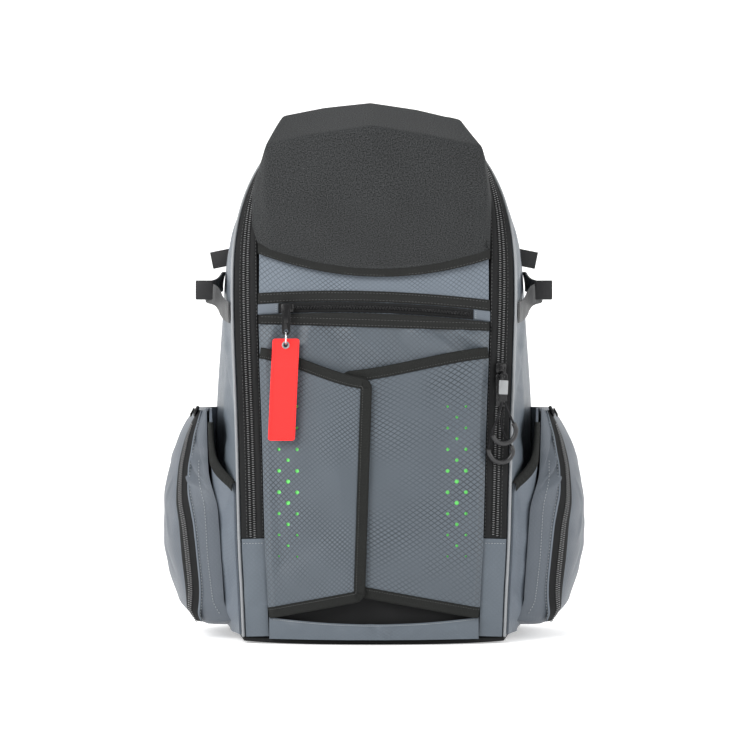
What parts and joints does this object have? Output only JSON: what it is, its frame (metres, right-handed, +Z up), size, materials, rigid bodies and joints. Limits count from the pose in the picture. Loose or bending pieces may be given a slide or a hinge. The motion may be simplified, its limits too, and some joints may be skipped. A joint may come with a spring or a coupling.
{
  "type": "baseball bat backpack",
  "caption": "Upright zipped backpack with a moulded foam cap, perforated front flaps, side bat sleeves with ball pockets, bat straps and padded shoulder straps.",
  "frame": {"origin": "centre of the base's underside, which is the face it stands on", "axes": "+Z up towards the cap, -Y out of the front with the flaps, +X towards the side with the main zip's sliders"},
  "size_m": [0.415, 0.2669, 0.516],
  "materials": {
    "grey_cloth": "grey ripstop with a slight sheen",
    "black_cloth": "matt black polyester and grosgrain",
    "webbing": "woven black webbing",
    "back_mesh": "padded black spacer mesh",
    "foam_cap": "fine-grained cloth over moulded foam",
    "piping": "pale grey piping",
    "zip_plastic": "black nylon coil and coated sliders",
    "steel": "bright steel",
    "silver_pull": "silver coating",
    "cord": "braided black cord",
    "grip_rubber": "moulded black rubber",
    "red_cloth": "dense red weave",
    "green_cloth": "bright green lining"
  },
  "bodies": {
    "root": {"body_wall": "grey_cloth", "heel_panel_right": "grey_cloth", "heel_panel_left": "grey_cloth", "upper_panel": "grey_cloth", "zip_tab_left": "grey_cloth", "zip_tab_right": "grey_cloth", "zip_pocket_panel": "grey_cloth", "left_flap": "grey_cloth", "right_flap": "grey_cloth", "pocket_lip": "grey_cloth", "bat_sleeve_right": "grey_cloth", "bat_sleeve_left": "grey_cloth", "ball_pocket_right": "grey_cloth", "ball_pocket_left": "grey_cloth", "base": "black_cloth", "back_panel": "black_cloth", "pocket_lining": "black_cloth", "cap_binding": "black_cloth", "main_zip_tape": "black_cloth", "top_band": "black_cloth", "front_zip_tape": "black_cloth", "lower_band": "black_cloth", "left_flap_binding": "black_cloth", "right_flap_binding": "black_cloth", "sleeve_binding_right": "black_cloth", "sleeve_binding_left": "black_cloth", "ball_pocket_zip_right": "black_cloth", "ball_pocket_zip_left": "black_cloth", "bat_strap_right": "webbing", "bat_strap_left": "webbing", "side_tab_right": "webbing", "side_tab_left": "webbing", "strap_webbing_right": "webbing", "strap_webbing_left": "webbing", "grab_handle": "webbing", "back_pad": "back_mesh", "shoulder_strap_right": "back_mesh", "shoulder_strap_left": "back_mesh", "cap_shell": "foam_cap", "edge_piping": "piping", "main_zip_coil": "zip_plastic", "front_zip_coil": "zip_plastic", "front_slider": "zip_plastic", "front_puller": "zip_plastic", "main_slider_upper": "zip_plastic", "main_slider_lower": "zip_plastic", "main_puller_lower": "zip_plastic", "ball_pocket_slider_right": "zip_plastic", "ball_pocket_slider_left": "zip_plastic", "fob_ring": "steel", "fob_eyelet": "steel", "main_puller_upper": "silver_pull", "pull_cord_upper": "cord", "pull_cord_lower": "cord", "pull_grip_upper": "grip_rubber", "pull_grip_lower": "grip_rubber", "fob": "red_cloth"}
  },
  "joints": []
}
